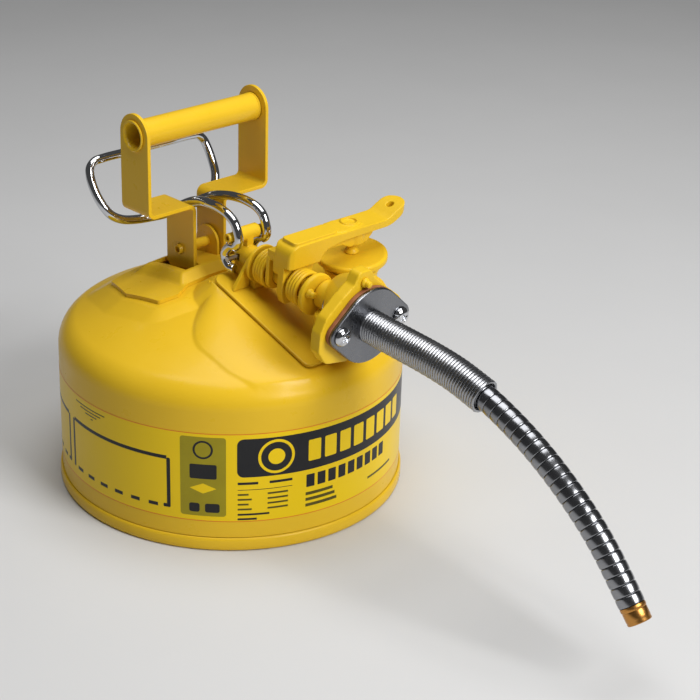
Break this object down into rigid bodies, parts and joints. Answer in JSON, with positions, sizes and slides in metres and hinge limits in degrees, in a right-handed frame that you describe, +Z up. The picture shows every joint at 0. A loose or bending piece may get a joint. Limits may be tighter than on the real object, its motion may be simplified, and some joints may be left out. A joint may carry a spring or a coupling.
{
  "type": "safety gas can",
  "caption": "Round steel safety can for flammable liquid, with a swinging carry handle, wire pour trigger, sprung fill lid and flexible metal pour hose.",
  "frame": {"origin": "centre of the underside of the box round everything but the hose, on the floor", "axes": "+Z up, +X the way the can pours, +Y towards the fill lid"},
  "size_m": [0.4843, 0.2414, 0.2614],
  "materials": {
    "yellow_paint": "glossy golden-yellow powder coat",
    "chrome_wire": "bright chrome plate",
    "bright_hardware": "bare bright steel",
    "hose_steel": "dark polished steel, wound in ridges",
    "brass": "coppery brass, knurled",
    "lid_gasket": "matte black rubber",
    "hose_gasket": "reddish brown fibre sheet"
  },
  "bodies": {
    "can": {"can_top": "yellow_paint", "can_wall": "yellow_paint", "bottom_pan": "yellow_paint", "base_plate": "yellow_paint", "handle_saddle": "yellow_paint", "handle_pivot_pin": "yellow_paint", "fulcrum_post": "yellow_paint", "fulcrum_pin": "yellow_paint", "gusset_near": "yellow_paint", "gusset_far": "yellow_paint", "spindle_tube": "yellow_paint", "rear_torsion_spring": "yellow_paint", "front_torsion_spring": "yellow_paint", "manifold_housing": "yellow_paint", "stem_gland_plate": "yellow_paint", "gland_rivet": "bright_hardware", "ear_rivet": "bright_hardware", "pour_valve_spring": "bright_hardware", "fill_flame_screen": "bright_hardware", "pour_flame_screen": "bright_hardware", "vent_tube": "bright_hardware", "hose_gasket": "hose_gasket", "hose_flange": "chrome_wire", "flange_screw_near": "chrome_wire", "flange_screw_far": "chrome_wire", "hose_guard_spring": "hose_steel", "metal_hose": "hose_steel", "hose_tip": "brass"},
    "handle": {"handle_arm_near": "yellow_paint", "handle_arm_far": "yellow_paint", "handle_grip": "yellow_paint"},
    "trigger": {"trigger_bail": "chrome_wire"},
    "pour_valve": {"valve_stem": "bright_hardware", "stem_cross_pin": "bright_hardware", "pour_valve_disc": "brass", "pour_valve_seal": "lid_gasket"},
    "fill_lid": {"fill_lid_lever": "yellow_paint", "fill_lid_post": "yellow_paint", "fill_lid_cap": "yellow_paint", "fill_lid_gasket": "lid_gasket"}
  },
  "joints": [
    {"name": "handle_swing", "type": "hinge", "parent": "can", "child": "handle", "pos_m": [-0.04648, 0, 0.1575], "axis": [0, 1, 0], "range_deg": [-5, 45]},
    {"name": "trigger_lift", "type": "hinge", "parent": "can", "child": "trigger", "pos_m": [0.00629, 0, 0.18132], "axis": [0, 1, 0], "range_deg": [0, 20], "stiffness_Nm_per_rad": 0.6, "springref_deg": -11.46},
    {"name": "stem_slide", "type": "slide", "parent": "can", "child": "pour_valve", "axis": [0.9954, 0, -0.0955], "range_m": [-0.0056, 0], "deforming": ["pour_valve_spring"]},
    {"name": "fill_lid_hinge", "type": "hinge", "parent": "can", "child": "fill_lid", "pos_m": [-0.00047, 0, 0.1663], "axis": [0.9954, 0, -0.0955], "range_deg": [0, 75], "stiffness_Nm_per_rad": 0.3, "springref_deg": -28.65}
  ],
  "couplings": [
    {"joint": "stem_slide", "follows": "trigger_lift", "m_per_rad": -0.0156}
  ]
}
